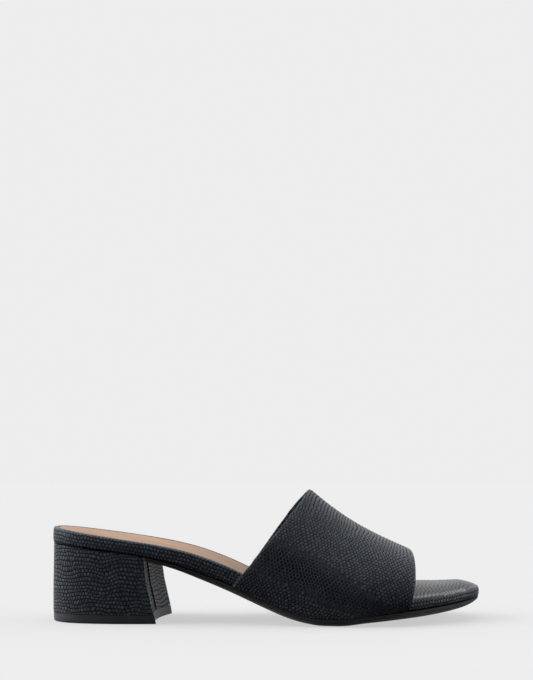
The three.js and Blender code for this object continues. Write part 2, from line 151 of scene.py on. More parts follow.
@dataclass(frozen=True)
class Grain:
    """Embossed lizard grain: rows of small rounded scales that wander a little. Sizes are millimetres.

    The rows of the real hide are about 2 mm apart, which is three to four pixels of the photograph's frame.
    """

    row: float
    scale: float
    # Share of a scale, from its middle, that is flat on top; the flank ends at the floor of the groove.
    flat_part: float
    groove_floor: float = 1.04
    squareness: float = 3.0
    # How far the rows stray, in long waves and in short ones.
    wander: float = 1.1
    wander_length: float = 13.0
    jitter: float = 0.3
    jitter_length: float = 3.2
    noise_roughness: float = 0.45
    # Shares of a scale by which each second row, and each row by itself, is moved along.
    stagger: float = 0.5
    slack: float = 0.1
    # Share of a row by which scales push into the next row, and the size of zigzags along the rows.
    bulge: float = 0.0
    zigzag: float = 0.0
    zigzag_length: float = 8.0
    # How deep the grooves are between rows and between the scales of a row.
    row_groove: float = 1.0
    scale_groove: float = 1.0
    # Distance from the ridge within which scales join into ribs, the share that is all ribs, and the
    # depth that is left there of the grooves between rows.
    ridge_zone: float = 0.0
    ridge_core: float = 0.35
    ridge_groove: float = 0.3
    # Swath of pits: its middle and half size across the band and along it, its slant and ragged border.
    pit_middle: float = 0.0
    pit_reach: float = 0.0
    pit_along: float = 12.0
    pit_length: float = 56.0
    pit_slant: float = 0.16
    pit_ragged: float = 0.3
    # Through the colour, low pit heights are also painted shade on the band's lower side.
    # In the swath, the height of a pit's bottom at the border, the height of a plain scale from which
    # it is all bottom, and the height of the net.
    pit_fade: float = 0.42
    pit_wall: float = 0.6
    pit_net: float = 0.72

    def place(self, tree: bpy.types.NodeTree) -> bpy.types.Node:
        """Place on the hide in millimetres, with the wander of the rows in it.

        Args:
            tree: Node tree of the material.

        Returns:
            A node with the X and Y of the place.
        """
        flat = add_node(tree, "ShaderNodeUVMap", uv_map=HIDE_MAP).outputs["UV"]
        sized = add_node(tree, "ShaderNodeVectorMath", {0: flat, 1: (PER_METRE,) * 3}, operation="MULTIPLY")
        moved = sized.outputs[0]
        for reach, length in ((self.wander, self.wander_length), (self.jitter, self.jitter_length)):
            noise = add_node(tree, "ShaderNodeTexNoise", {
                "Vector": sized.outputs[0], "Scale": 1 / length, "Detail": 1.0,
                "Roughness": self.noise_roughness})
            centred = add_node(tree, "ShaderNodeVectorMath", {0: noise.outputs["Color"], 1: (0.5,) * 3},
                               operation="SUBTRACT")
            moved = add_node(tree, "ShaderNodeVectorMath", {
                0: centred.outputs[0], 1: (NOISE_SPREAD * reach, NOISE_SPREAD * reach, 0), 2: moved},
                operation="MULTIPLY_ADD").outputs[0]
        return add_node(tree, "ShaderNodeSeparateXYZ", {0: moved})

    def build(self, tree: bpy.types.NodeTree) -> tuple[bpy.types.NodeSocket, bpy.types.NodeSocket]:
        """Builds the scales.

        Args:
            tree: Node tree of the material.

        Returns:
            The height of a scale from 0 in the grooves to 1 on top, and a value that differs by scale.
        """
        place = self.place(tree)
        along, over = place.outputs["X"], place.outputs["Y"]
        if self.zigzag:
            fold = add_node(tree, "ShaderNodeMath", {0: over, 1: self.zigzag_length}, operation="PINGPONG")
            along = add_node(tree, "ShaderNodeMath", {
                0: fold.outputs[0], 1: self.zigzag / self.zigzag_length, 2: along},
                operation="MULTIPLY_ADD").outputs[0]
        if self.bulge:
            over = self.honeycomb(tree, along, over)
        rows = add_node(tree, "ShaderNodeMath", {0: over, 1: 1 / self.row}, operation="MULTIPLY")
        row_number = add_node(tree, "ShaderNodeMath", {0: rows.outputs[0]}, operation="FLOOR").outputs[0]
        row_part = add_node(tree, "ShaderNodeMath", {0: rows.outputs[0]}, operation="FRACT").outputs[0]
        shift, row_weight = self.row_shift(tree, row_number), self.row_groove
        if self.ridge_zone:
            shift, row_weight = self.ribs(tree, row_number, over, shift)
        columns = add_node(tree, "ShaderNodeMath", {0: along, 1: 1 / self.scale, 2: shift},
                           operation="MULTIPLY_ADD")
        number = add_node(tree, "ShaderNodeMath", {0: columns.outputs[0]}, operation="FLOOR").outputs[0]
        part = add_node(tree, "ShaderNodeMath", {0: columns.outputs[0]}, operation="FRACT").outputs[0]
        height = self.rounded(tree, ((row_part, row_weight), (part, self.scale_groove)))
        cell = add_node(tree, "ShaderNodeCombineXYZ", {"X": number, "Y": row_number}).outputs[0]
        own = add_node(tree, "ShaderNodeTexWhiteNoise", {"Vector": cell}, noise_dimensions="2D")
        if self.pit_reach:
            height = self.pits(tree, cell, own.outputs["Value"], height)
        return height, own.outputs["Value"]

    def row_shift(self, tree: bpy.types.NodeTree, number: bpy.types.NodeSocket) -> bpy.types.NodeSocket:
        """Staggers each second row, and moves every row along by a little of its own.

        Args:
            tree: Node tree of the material.
            number: Number of the row.

        Returns:
            How far the row is moved along, in scales.
        """
        loose = add_node(tree, "ShaderNodeTexWhiteNoise", {"W": number}, noise_dimensions="1D")
        parity = add_node(tree, "ShaderNodeMath", {0: number, 1: 2.0}, operation="FLOORED_MODULO")
        even = add_node(tree, "ShaderNodeMath", {0: parity.outputs[0], 1: self.stagger},
                        operation="MULTIPLY")
        return add_node(tree, "ShaderNodeMath", {
            0: loose.outputs["Value"], 1: self.slack, 2: even.outputs[0]},
            operation="MULTIPLY_ADD").outputs[0]

    def rounded(self, tree: bpy.types.NodeTree, parts: tuple) -> bpy.types.NodeSocket:
        """Raises each scale as a square with round corners and soft flanks.

        Args:
            tree: Node tree of the material.
            parts: Place inside the scale, across and along its row, each with the weight of its groove.

        Returns:
            The height, from 0 in the grooves to 1 on top.
        """
        edges = []
        for part, weight in parts:
            off = add_node(tree, "ShaderNodeMath", {0: part, 1: 0.5}, operation="SUBTRACT")
            far = add_node(tree, "ShaderNodeMath", {0: off.outputs[0]}, operation="ABSOLUTE")
            twice = add_node(tree, "ShaderNodeMath", {0: far.outputs[0], 1: 2.0}, operation="MULTIPLY")
            steep = add_node(tree, "ShaderNodeMath", {0: twice.outputs[0], 1: self.squareness},
                             operation="POWER")
            edges.append(add_node(tree, "ShaderNodeMath", {0: steep.outputs[0], 1: weight},
                                  operation="MULTIPLY").outputs[0])
        both = add_node(tree, "ShaderNodeMath", {0: edges[0], 1: edges[1]}, operation="ADD")
        border = add_node(tree, "ShaderNodeMath", {0: both.outputs[0], 1: 1 / self.squareness},
                          operation="POWER")
        return add_node(tree, "ShaderNodeMapRange", {
            "Value": border.outputs[0], "From Min": self.groove_floor, "From Max": self.flat_part,
            "To Min": 0.0, "To Max": 1.0}, interpolation_type="SMOOTHSTEP").outputs["Result"]

    def honeycomb(self, tree: bpy.types.NodeTree, along: bpy.types.NodeSocket,
                  over: bpy.types.NodeSocket) -> bpy.types.NodeSocket:
        """Waves the grooves between rows, so that each scale pushes in between two of the next row.

        Args:
            tree: Node tree of the material.
            along: Place along the rows.
            over: Place across the rows.

        Returns:
            The place across the rows with the waves in it.
        """
        waves = []
        for place, turns in ((along, 1 / self.scale), (over, 0.5 / self.row)):
            angle = add_node(tree, "ShaderNodeMath", {0: place, 1: FULL_TURN * turns},
                             operation="MULTIPLY")
            waves.append(add_node(tree, "ShaderNodeMath", {0: angle.outputs[0]},
                                  operation="COSINE").outputs[0])
        both = add_node(tree, "ShaderNodeMath", {0: waves[0], 1: waves[1]}, operation="MULTIPLY")
        return add_node(tree, "ShaderNodeMath", {
            0: both.outputs[0], 1: -self.bulge * self.row, 2: over}, operation="MULTIPLY_ADD").outputs[0]

    def ribs(self, tree: bpy.types.NodeTree, row_number: bpy.types.NodeSocket, over: bpy.types.NodeSocket,
             shift: bpy.types.NodeSocket) -> tuple[bpy.types.NodeSocket, bpy.types.NodeSocket]:
        """Lines the scales up into long ribs across the ridge of the band.

        Args:
            tree: Node tree of the material.
            row_number: Number of the row, 0 at the ridge.
            over: Distance from the ridge.
            shift: How far each row is moved along.

        Returns:
            The shift and the strength of the grooves between rows, both less near the ridge.
        """
        found = []
        for value, least, unit in ((row_number, 0.0, 1 / self.row), (over, self.ridge_groove, 1.0)):
            away = add_node(tree, "ShaderNodeMath", {0: value}, operation="ABSOLUTE")
            found.append(add_node(tree, "ShaderNodeMapRange", {
                "Value": away.outputs[0], "From Min": self.ridge_zone * self.ridge_core * unit,
                "From Max": self.ridge_zone * unit, "To Min": least, "To Max": 1.0}).outputs["Result"])
        moved = add_node(tree, "ShaderNodeMath", {0: shift, 1: found[0]}, operation="MULTIPLY")
        return moved.outputs[0], found[1]

    def pits(self, tree: bpy.types.NodeTree, cell: bpy.types.NodeSocket, own: bpy.types.NodeSocket,
             height: bpy.types.NodeSocket) -> bpy.types.NodeSocket:
        """Turns the scales into a net round pits, in a slanting swath along the lower side.

        Args:
            tree: Node tree of the material.
            cell: Number of the scale in its row, and number of the row.
            own: Value that differs by scale, which makes the swath's border ragged.
            height: Height of the scales.

        Returns:
            The height with the pits in it, which are deepest along the middle of the swath.
        """
        # Painted shade: the pit bottoms take the near-black groove colour, which darkens the lower side of
        # the band; the pits' relief is real.
        signed = add_node(tree, "ShaderNodeSeparateXYZ", {0: cell})
        row = add_node(tree, "ShaderNodeMath", {0: signed.outputs["Y"]}, operation="ABSOLUTE")
        level = add_node(tree, "ShaderNodeMath", {
            0: signed.outputs["X"], 1: -self.pit_slant * self.scale / self.row, 2: row.outputs[0]},
            operation="MULTIPLY_ADD")
        squares = []
        for count, pitch, middle, reach in (
                (signed.outputs["X"], self.scale, self.pit_along, self.pit_length),
                (level.outputs[0], self.row, self.pit_middle, self.pit_reach)):
            off = add_node(tree, "ShaderNodeMath", {0: count, 1: pitch / reach, 2: -middle / reach},
                           operation="MULTIPLY_ADD")
            squares.append(add_node(tree, "ShaderNodeMath", {0: off.outputs[0], 1: off.outputs[0]},
                                    operation="MULTIPLY").outputs[0])
        far = add_node(tree, "ShaderNodeMath", {0: squares[0], 1: squares[1]}, operation="ADD")
        ragged = add_node(tree, "ShaderNodeMath", {0: own, 1: self.pit_ragged, 2: far.outputs[0]},
                          operation="MULTIPLY_ADD")
        share = add_node(tree, "ShaderNodeMath", {0: ragged.outputs[0], 1: 1.0}, operation="LESS_THAN")
        bottom = add_node(tree, "ShaderNodeMapRange", {"Value": far.outputs[0], "To Max": self.pit_fade})
        hollow = add_node(tree, "ShaderNodeMapRange", {
            "Value": height, "From Max": self.pit_wall, "To Min": self.pit_net,
            "To Max": bottom.outputs["Result"]})
        mixed = add_node(tree, "ShaderNodeMix", {
            "Factor": share.outputs[0], "A": height, "B": hollow.outputs["Result"]})
        return mixed.outputs["Result"]


@dataclass(frozen=True)
class LizardLeather:
    """Black calf leather pressed with a lizard grain and waxed: dark, with soft light on each scale and
    painted shade in its grooves and pits.
    """

    name: str
    grain: Grain
    top: str = "3d444d"
    # Near black of the grooves and pit bottoms: painted shade in the hollows of the grain.
    groove_shade: str = "010102"
    least_shade: float = 0.55
    depth: float = 0.26
    # Pores are drawn 0.6 mm wide, as coarse as they have to be to show at all.
    pore: float = 0.6
    pore_share: float = 0.12
    roughness: float = 0.38
    groove_roughness: float = 0.9
    specular: float = 0.22
    coat: float = 0.07
    coat_roughness: float = 0.3

    def material(self) -> bpy.types.Material:
        """Builds the finish.

        Returns:
            Its node material.
        """
        material, tree = new_material(self.name)
        height, own = self.grain.build(tree)
        shade = add_node(tree, "ShaderNodeMapRange", {
            "Value": own, "To Min": self.least_shade, "To Max": 1.0})
        lit = add_node(tree, "ShaderNodeMath", {0: height, 1: shade.outputs["Result"]},
                       operation="MULTIPLY")
        # Painted shade: where the height is low, the colour goes to the near-black groove colour.
        colour = add_node(tree, "ShaderNodeMix", {
            "Factor": lit.outputs[0], "A": linear(self.groove_shade), "B": linear(self.top)},
            data_type="RGBA")
        rough = add_node(tree, "ShaderNodeMapRange", {
            "Value": height, "To Min": self.groove_roughness, "To Max": self.roughness})
        place = add_node(tree, "ShaderNodeTexCoord").outputs["Object"]
        pores = add_node(tree, "ShaderNodeTexNoise", {
            "Vector": place, "Scale": PER_METRE / self.pore, "Detail": 3.0, "Roughness": 0.6})
        raised = add_node(tree, "ShaderNodeMath", {
            0: pores.outputs["Fac"], 1: self.pore_share, 2: lit.outputs[0]}, operation="MULTIPLY_ADD")
        bump = add_node(tree, "ShaderNodeBump", {
            "Height": raised.outputs[0], "Distance": self.depth * MM, "Strength": 1.0})
        surface(tree, {
            "Base Color": colour.outputs["Result"], "Roughness": rough.outputs["Result"],
            "Normal": bump.outputs[0], "Specular IOR Level": self.specular,
            "Coat Weight": self.coat, "Coat Roughness": self.coat_roughness})
        return material


@dataclass(frozen=True)
class SmoothLeather:
    """Thin smooth leather for linings: matt, with fine lines along the foot and a few soft blotches."""

    name: str
    colour: str
    darker: str
    roughness: float
    # Fine lines: the gap between them, how little they change along the foot, and their turn in radians.
    line_gap: float = 4.0
    line_squeeze: float = 0.06
    line_turn: float = -0.06
    blotch: float = 18.0
    grain: float = 0.5
    # Values of the pattern that come out all dark and all light.
    dark_end: float = 0.12
    light_end: float = 0.38
    line_relief: float = 0.7
    depth: float = 0.05
    specular: float = 0.3

    def material(self) -> bpy.types.Material:
        """Builds the finish.

        Returns:
            Its node material.
        """
        material, tree = new_material(self.name)
        place = add_node(tree, "ShaderNodeTexCoord").outputs["Object"]
        turned = add_node(tree, "ShaderNodeMapping", {
            "Vector": place, "Scale": (self.line_squeeze, 1.0, 1.0),
            "Rotation": (0.0, 0.0, self.line_turn)})
        lines = add_node(tree, "ShaderNodeTexNoise", {
            "Vector": turned.outputs[0], "Scale": PER_METRE / self.line_gap, "Detail": 2.0,
            "Roughness": 0.6})
        cloud = add_node(tree, "ShaderNodeTexNoise", {
            "Vector": place, "Scale": PER_METRE / self.blotch, "Detail": 2.0})
        grain = add_node(tree, "ShaderNodeTexNoise", {
            "Vector": place, "Scale": PER_METRE / self.grain, "Detail": 3.0})
        mixed = add_node(tree, "ShaderNodeMath", {0: lines.outputs["Fac"], 1: cloud.outputs["Fac"]},
                         operation="MULTIPLY")
        share = add_node(tree, "ShaderNodeMapRange", {
            "Value": mixed.outputs[0], "From Min": self.dark_end, "From Max": self.light_end})
        colour = add_node(tree, "ShaderNodeMix", {
            "Factor": share.outputs["Result"], "A": linear(self.darker), "B": linear(self.colour)},
            data_type="RGBA")
        relief = add_node(tree, "ShaderNodeMath", {
            0: lines.outputs["Fac"], 1: self.line_relief, 2: grain.outputs["Fac"]},
            operation="MULTIPLY_ADD")
        bump = add_node(tree, "ShaderNodeBump", {
            "Height": relief.outputs[0], "Distance": self.depth * MM, "Strength": 1.0})
        surface(tree, {
            "Base Color": colour.outputs["Result"], "Roughness": self.roughness,
            "Normal": bump.outputs[0], "Specular IOR Level": self.specular})
        return material


@dataclass(frozen=True)
class Rubber:
    """Moulded and buffed rubber: even and dull, with faint buffing lines along the sole's side."""

    name: str
    colour: str
    worn: str
    roughness: float
    buffing: float = 0.35
    buffing_squeeze: float = 0.05
    dust: float = 6.0
    smoother: float = 0.08
    rougher: float = 0.1
    depth: float = 0.03
    specular: float = 0.4

    def material(self) -> bpy.types.Material:
        """Builds the finish.

        Returns:
            Its node material.
        """
        material, tree = new_material(self.name)
        place = add_node(tree, "ShaderNodeTexCoord").outputs["Object"]
        drawn = add_node(tree, "ShaderNodeMapping", {
            "Vector": place, "Scale": (self.buffing_squeeze, self.buffing_squeeze, 1.0)})
        lines = add_node(tree, "ShaderNodeTexNoise", {
            "Vector": drawn.outputs[0], "Scale": PER_METRE / self.buffing, "Detail": 2.0})
        dust = add_node(tree, "ShaderNodeTexNoise", {
            "Vector": place, "Scale": PER_METRE / self.dust, "Detail": 4.0})
        colour = add_node(tree, "ShaderNodeMix", {
            "Factor": dust.outputs["Fac"], "A": linear(self.colour), "B": linear(self.worn)},
            data_type="RGBA")
        rough = add_node(tree, "ShaderNodeMapRange", {
            "Value": lines.outputs["Fac"], "To Min": self.roughness - self.smoother,
            "To Max": self.roughness + self.rougher})
        bump = add_node(tree, "ShaderNodeBump", {
            "Height": lines.outputs["Fac"], "Distance": self.depth * MM, "Strength": 1.0})
        surface(tree, {
            "Base Color": colour.outputs["Result"], "Roughness": rough.outputs["Result"],
            "Normal": bump.outputs[0], "Specular IOR Level": self.specular})
        return material


Finish = LizardLeather | SmoothLeather | Rubber


def select_only(piece: bpy.types.Object) -> None:
    """Makes one object the only selected and the active one.

    Args:
        piece: The object.
    """
    bpy.ops.object.select_all(action="DESELECT")
    bpy.context.view_layer.objects.active = piece
    piece.select_set(True)


def take_form(node: str, name: str) -> bpy.types.Object:
    """Copies a CAD node's form into a new piece with merged corners and quads.

    Args:
        node: Name of the CAD node.
        name: Name of the new piece.

    Returns:
        The new piece, selected and active.
    """
    piece = bpy.data.objects.new(name, bpy.data.objects[node].data.copy())
    piece.data.name = name
    piece.data.materials.clear()
    bpy.context.scene.collection.objects.link(piece)
    select_only(piece)
    bpy.ops.mesh.customdata_custom_splitnormals_clear()
    bpy.ops.object.mode_set(mode="EDIT")
    bpy.ops.mesh.select_all(action="SELECT")
    bpy.ops.mesh.remove_doubles(threshold=MERGE)
    bpy.ops.mesh.tris_convert_to_quads(face_threshold=math.radians(QUAD_TILT),
                                       shape_threshold=math.radians(QUAD_SKEW))
    bpy.ops.object.mode_set(mode="OBJECT")
    return piece


def keep_edges(piece: bpy.types.Object, sharper_than: float) -> None:
    """Creases the edges of a piece that are sharper than an angle, so that subdivision keeps them.

    Args:
        piece: The piece.
        sharper_than: Angle in degrees.
    """
    select_only(piece)
    bpy.ops.object.mode_set(mode="EDIT")
    bpy.ops.mesh.select_mode(type="EDGE")
    bpy.ops.mesh.select_all(action="DESELECT")
    bpy.ops.mesh.edges_select_sharp(sharpness=math.radians(sharper_than))
    bpy.ops.transform.edge_crease(value=1.0)
    bpy.ops.mesh.select_mode(type="FACE")
    bpy.ops.object.mode_set(mode="OBJECT")


def subdivide(piece: bpy.types.Object) -> None:
    """Smooths a piece by applied subdivision.

    Args:
        piece: The piece.
    """
    select_only(piece)
    modifier = piece.modifiers.new("smooth", "SUBSURF")
    modifier.levels = SPLITS
    modifier.render_levels = SPLITS
    bpy.ops.object.modifier_apply(modifier=modifier.name)


def shade(piece: bpy.types.Object, angle: float) -> None:
    """Shades a piece smooth apart from edges sharper than an angle in degrees."""
    select_only(piece)
    bpy.ops.object.shade_smooth_by_angle(angle=math.radians(angle))


def smooth_form(piece: bpy.types.Object, kept: float, shaded: float) -> None:
    """Rounds a piece by subdivision, apart from its sharp edges.

    Args:
        piece: The piece.
        kept: Angle in degrees from which an edge keeps its form.
        shaded: Angle in degrees from which an edge is shaded as an edge.
    """
    keep_edges(piece, kept)
    subdivide(piece)
    shade(piece, shaded)


def add_finishes(piece: bpy.types.Object, *finishes: Finish) -> None:
    """Gives a piece its materials, in the order that its faces number them."""
    for finish in finishes:
        piece.data.materials.append(finish.material())


def loop_places(piece: bpy.types.Object) -> tuple[np.ndarray, np.ndarray, np.ndarray]:
    """Reads where the corners of all faces are.

    Args:
        piece: The piece.

    Returns:
        The place of each corner, the normal of its face, and the number of its face.
    """
    mesh = piece.data
    points = np.array([v.co for v in mesh.vertices])
    corner = np.array([loop.vertex_index for loop in mesh.loops])
    faces = np.repeat(np.arange(len(mesh.polygons)), [len(p.vertices) for p in mesh.polygons])
    normals = np.array([p.normal for p in mesh.polygons])
    return points[corner], normals[faces], faces


def lay_hide(piece: bpy.types.Object, flat: np.ndarray) -> None:
    """Gives a piece its map of the hide, in metres.

    Args:
        piece: The piece.
        flat: Place on the hide of each corner of each face.
    """
    layer = piece.data.uv_layers.get(HIDE_MAP) or piece.data.uv_layers.new(name=HIDE_MAP)
    layer.data.foreach_set("uv", flat.astype(np.float32).ravel())
    piece.data.uv_layers.active = layer


class Girth:
    """Distance round a piece in plan, measured on the ring of its tall upright edges."""

    least_wall = 2 * MM
    most_lean = 0.2
    angle_digits = 3

    def __init__(self, piece: bpy.types.Object, centre: Vector, start: float) -> None:
        """Finds the ring.

        Args:
            piece: A piece with upright walls, whose ring is in sight of the centre.
            centre: Point in plan inside the ring.
            start: Direction from the centre in degrees where the distance starts and ends.
        """
        self.centre = np.array(centre)[:2]
        self.start = math.radians(start)
        points = np.array([v.co for v in piece.data.vertices])
        ends = points[np.array([e.vertices[:] for e in piece.data.edges])]
        run = ends[:, 1] - ends[:, 0]
        height = np.abs(run[:, 2])
        lean = np.hypot(run[:, 0], run[:, 1])
        upright = (lean < self.most_lean * height) & (height > self.least_wall)
        ring = ends[upright].reshape(-1, 3)
        angles = np.round(self.angle(ring), self.angle_digits)
        self.angles = np.unique(angles)
        self.ring = np.array([ring[angles == a].mean(0)[:2] for a in self.angles])
        self.top = np.array([ring[angles == a][:, 2].max() for a in self.angles])
        steps = np.hypot(*(np.roll(self.ring, -1, 0) - self.ring).T)
        self.length = float(steps.sum())
        self.reach = np.concatenate([[0.0], np.cumsum(steps)[:-1]])

    def angle(self, points: np.ndarray) -> np.ndarray:
        """Direction of points from the centre, in radians after the start."""
        away = points[:, :2] - self.centre
        return (np.arctan2(away[:, 1], away[:, 0]) - self.start) % FULL_TURN

    def along(self, points: np.ndarray, faces: np.ndarray) -> np.ndarray:
        """Distance round the ring for the corners of faces, without a jump inside a face.

        Args:
            points: Place of each corner.
            faces: Number of each corner's face.

        Returns:
            The distance for each corner, in metres.
        """
        angles = np.concatenate([self.angles - FULL_TURN, self.angles, self.angles + FULL_TURN])
        reach = np.concatenate([self.reach - self.length, self.reach, self.reach + self.length])
        found = np.interp(self.angle(points), angles, reach)
        highest = np.full(faces.max() + 1, -1.0)
        np.maximum.at(highest, faces, found)
        jump = (highest[faces] - found) > self.length / 2
        return found + jump * self.length

    def edge(self, points: np.ndarray) -> np.ndarray:
        """Height of the ring's upper edge beside each point."""
        return np.interp(self.angle(points), self.angles, self.top, period=FULL_TURN)


@dataclass
class HeelLift:
    """Top lift: the smooth rubber piece that the heel stands on."""

    node: str = "heel_lift"
    kept_angle: float = 60
    edge_angle: float = 35

    def build(self, finish: Rubber) -> bpy.types.Object:
        """Builds and dresses the lift.

        Args:
            finish: Its rubber.

        Returns:
            The piece.
        """
        piece = take_form(self.node, "top_lift")
        smooth_form(piece, self.kept_angle, self.edge_angle)
        add_finishes(piece, finish)
        return piece


@dataclass
class HeelBlock:
    """Block of the heel in its leather cover, which closes in a lap down the breast."""

    node: str = "heel_block"
    lap_direction: float = 8
    lap_side: float = -0.8
    seam_reach: float = 0.3
    edge_angle: float = 30

    def paint_seam_shadow(self, piece: bpy.types.Object) -> None:
        """Paints the cut edge of the lap, half way across the breast, black as the shadow that the lap casts
        in its seam.

        Args:
            piece: The heel's cover.
        """
        low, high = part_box(self.node)
        middle = (low + high) / 2
        for polygon in piece.data.polygons:
            at_breast = polygon.center.x > middle.x
            near_middle = abs(polygon.center.y - middle.y) < self.seam_reach * (high.y - low.y)
            in_lap = polygon.normal.y < self.lap_side
            polygon.material_index = int(in_lap and at_breast and near_middle)

    def build(self, finish: LizardLeather, seam: SmoothLeather) -> bpy.types.Object:
        """Builds and dresses the heel's cover.

        Args:
            finish: Its leather.
            seam: Black finish painted as the shadow in the lap's seam.

        Returns:
            The piece.
        """
        piece = take_form(self.node, "heel_cover")
        self.paint_seam_shadow(piece)
        low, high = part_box(self.node)
        girth = Girth(piece, (low + high) / 2, self.lap_direction)
        points, _, faces = loop_places(piece)
        lay_hide(piece, np.stack([girth.along(points, faces), points[:, 2]], 1))
        shade(piece, self.edge_angle)
        add_finishes(piece, finish, seam)
        return piece


@dataclass
class Outsole:
    """Thin outsole with a groove round its side and a bevelled lower strip."""

    node: str = "outsole"
    down: float = -0.2
    edge_angle: float = 24

    def build(self, finish: Rubber, ground: Rubber) -> bpy.types.Object:
        """Builds and dresses the outsole.

        Args:
            finish: Rubber of the side and the upper face.
            ground: The same rubber where it is ground off, on the bevel and the tread.

        Returns:
            The piece.
        """
        piece = take_form(self.node, "thin_outsole")
        for polygon in piece.data.polygons:
            polygon.material_index = int(polygon.normal.z < self.down)
        smooth_form(piece, self.edge_angle, self.edge_angle)
        add_finishes(piece, finish, ground)
        return piece


@dataclass
class Footbed:
    """Board and cushion wrapped in one leather: the side follows the edge, the top lies flat."""

    node: str = "footbed"
    wrap_direction: float = 35
    waist: float = -0.02
    # Upward part of the normal from which a face belongs to the top.
    least_up: float = 0.8
    # Stretch of the toe whose rim gets a painted highlight, and the area that sets the rim's narrow faces
    # apart.
    highlight_start: float = 0.062
    highlight_end: float = 0.111
    highlight_face: float = 8e-6
    kept_angle: float = 50
    edge_angle: float = 40

    def build(self, side: LizardLeather, top: LizardLeather, fold: LizardLeather) -> bpy.types.Object:
        """Builds and dresses the footbed.

        Args:
            side: Leather round the edge.
            top: The same leather on the padded top.
            fold: The same leather, lighter and glossier, as a painted highlight on the rim of the toe.

        Returns:
            The piece.
        """
        piece = take_form(self.node, "wrapped_footbed")
        points, normals, faces = loop_places(piece)
        girth = Girth(piece, Vector((self.waist, 0, 0)), self.wrap_direction)
        wall = np.stack([girth.along(points, faces), points[:, 2] - girth.edge(points)], 1)
        flat = np.abs(normals[:, 2:]) > self.least_up
        lay_hide(piece, np.where(flat, points[:, :2], wall))
        for polygon in piece.data.polygons:
            # Narrow faces on the rim of the toe take the painted highlight.
            along_highlight = self.highlight_start < polygon.center.x < self.highlight_end
            at_highlight = along_highlight and polygon.area < self.highlight_face
            on_top = polygon.normal.z > self.least_up
            polygon.material_index = int(on_top) * (1 + int(at_highlight))
        smooth_form(piece, self.kept_angle, self.edge_angle)
        add_finishes(piece, side, top, fold)
        return piece


@dataclass
class SockLining:
    """Tan lining sheet that the foot stands on, pressed a little way into the footbed."""

    node: str = "sock_lining"
    sunk: float = 0.00025
    kept_angle: float = 50
    edge_angle: float = 40

    def build(self, finish: SmoothLeather) -> bpy.types.Object:
        """Builds and dresses the sock lining.

        Args:
            finish: Its leather.

        Returns:
            The piece.
        """
        piece = take_form(self.node, "tan_sock")
        bpy.ops.object.mode_set(mode="EDIT")
        bpy.ops.mesh.select_all(action="SELECT")
        bpy.ops.transform.translate(value=(0.0, 0.0, -self.sunk))
        bpy.ops.object.mode_set(mode="OBJECT")
        smooth_form(piece, self.kept_angle, self.edge_angle)
        add_finishes(piece, finish)
        return piece


@dataclass
class Band:
    """The one wide band over the instep, a wall of leather and lining with turned rims."""

    node: str = "vamp"
    # Line along the band's inside, from which its faces look out or in.
    ridge_side: float = 0.0022
    inside_height: float = 0.012
    # How far outward a face has to look to be laid out, and how far inward to be lining.
    least_outward: float = 0.45
    least_inward: float = 0.6
    # Width beside the ridge in which its front end is looked for, and the step between the corners of
    # the outside that the rims are compared with.
    ridge_strip: float = 0.005
    sample_step: int = 3
    kept_angle: float = 70
    edge_angle: float = 60

    def facing(self, face: bpy.types.MeshPolygon) -> float:
        """Says which way a face looks, from 1 for straight outward to -1 for straight inward."""
        away = Vector((0.0, face.center.y - self.ridge_side, face.center.z - self.inside_height))
        return face.normal.dot(away.normalized())

    def unroll(self, piece: bpy.types.Object, outer: list[bool]) -> None:
        """Flattens the outside of the band, as the leather was cut, with the ridge along the flat X.

        Args:
            piece: The band.
            outer: For each face, whether it is on the outside.
        """
        select_only(piece)
        piece.data.uv_layers.new(name=HIDE_MAP)
        bpy.ops.object.mode_set(mode="EDIT")
        bpy.ops.mesh.select_mode(type="FACE")
        bpy.ops.mesh.select_all(action="DESELECT")
        bpy.ops.object.mode_set(mode="OBJECT")
        piece.data.polygons.foreach_set("select", outer)
        bpy.ops.object.mode_set(mode="EDIT")
        bpy.ops.uv.unwrap(method="ANGLE_BASED", margin=0.0)
        bpy.ops.object.mode_set(mode="OBJECT")
        self.straighten(piece, outer)

    def straighten(self, piece: bpy.types.Object, outer: list[bool]) -> None:
        """Turns the flattened leather to its ridge and gives it its real size.

        The rims and the inside, which were not flattened, continue the nearest part of the outside.

        Args:
            piece: The band.
            outer: For each face, whether it is on the outside.
        """
        points, _, faces = loop_places(piece)
        layer = piece.data.uv_layers[HIDE_MAP]
        flat = np.array([corner.uv for corner in layer.data])
        on_outside = np.array(outer)[faces]
        seen, spread = points[on_outside], flat[on_outside]
        rear = seen[:, 2].argmax()
        near_ridge = np.abs(seen[:, 1] - self.ridge_side) < self.ridge_strip
        front = np.where(near_ridge, seen[:, 0], -1.0).argmax()
        ridge = spread[front] - spread[rear]
        along = ridge / np.linalg.norm(ridge)
        size = np.linalg.norm(seen[front] - seen[rear]) / np.linalg.norm(ridge)
        across = np.array([-along[1], along[0]])
        away = spread - spread[rear]
        if (away @ across)[seen[:, 1].argmax()] < 0:
            across = -across
        hide = np.stack([away @ along, away @ across], 1) * size
        samples = slice(None, None, self.sample_step)
        gaps = ((points[:, None, :] - seen[None, samples, :]) ** 2).sum(2)
        near = hide[samples][gaps.argmin(1)]
        near[on_outside] = hide
        lay_hide(piece, near)

    def build(self, outside: LizardLeather, inside: SmoothLeather) -> bpy.types.Object:
        """Builds and dresses the band.

        Args:
            outside: Leather of the outside and the turned rims.
            inside: Lining leather.

        Returns:
            The piece.
        """
        piece = take_form(self.node, "instep_band")
        outer = [self.facing(face) > self.least_outward for face in piece.data.polygons]
        self.unroll(piece, outer)
        for polygon in piece.data.polygons:
            polygon.material_index = int(self.facing(polygon) < -self.least_inward)
        smooth_form(piece, self.kept_angle, self.edge_angle)
        add_finishes(piece, outside, inside)
        return piece


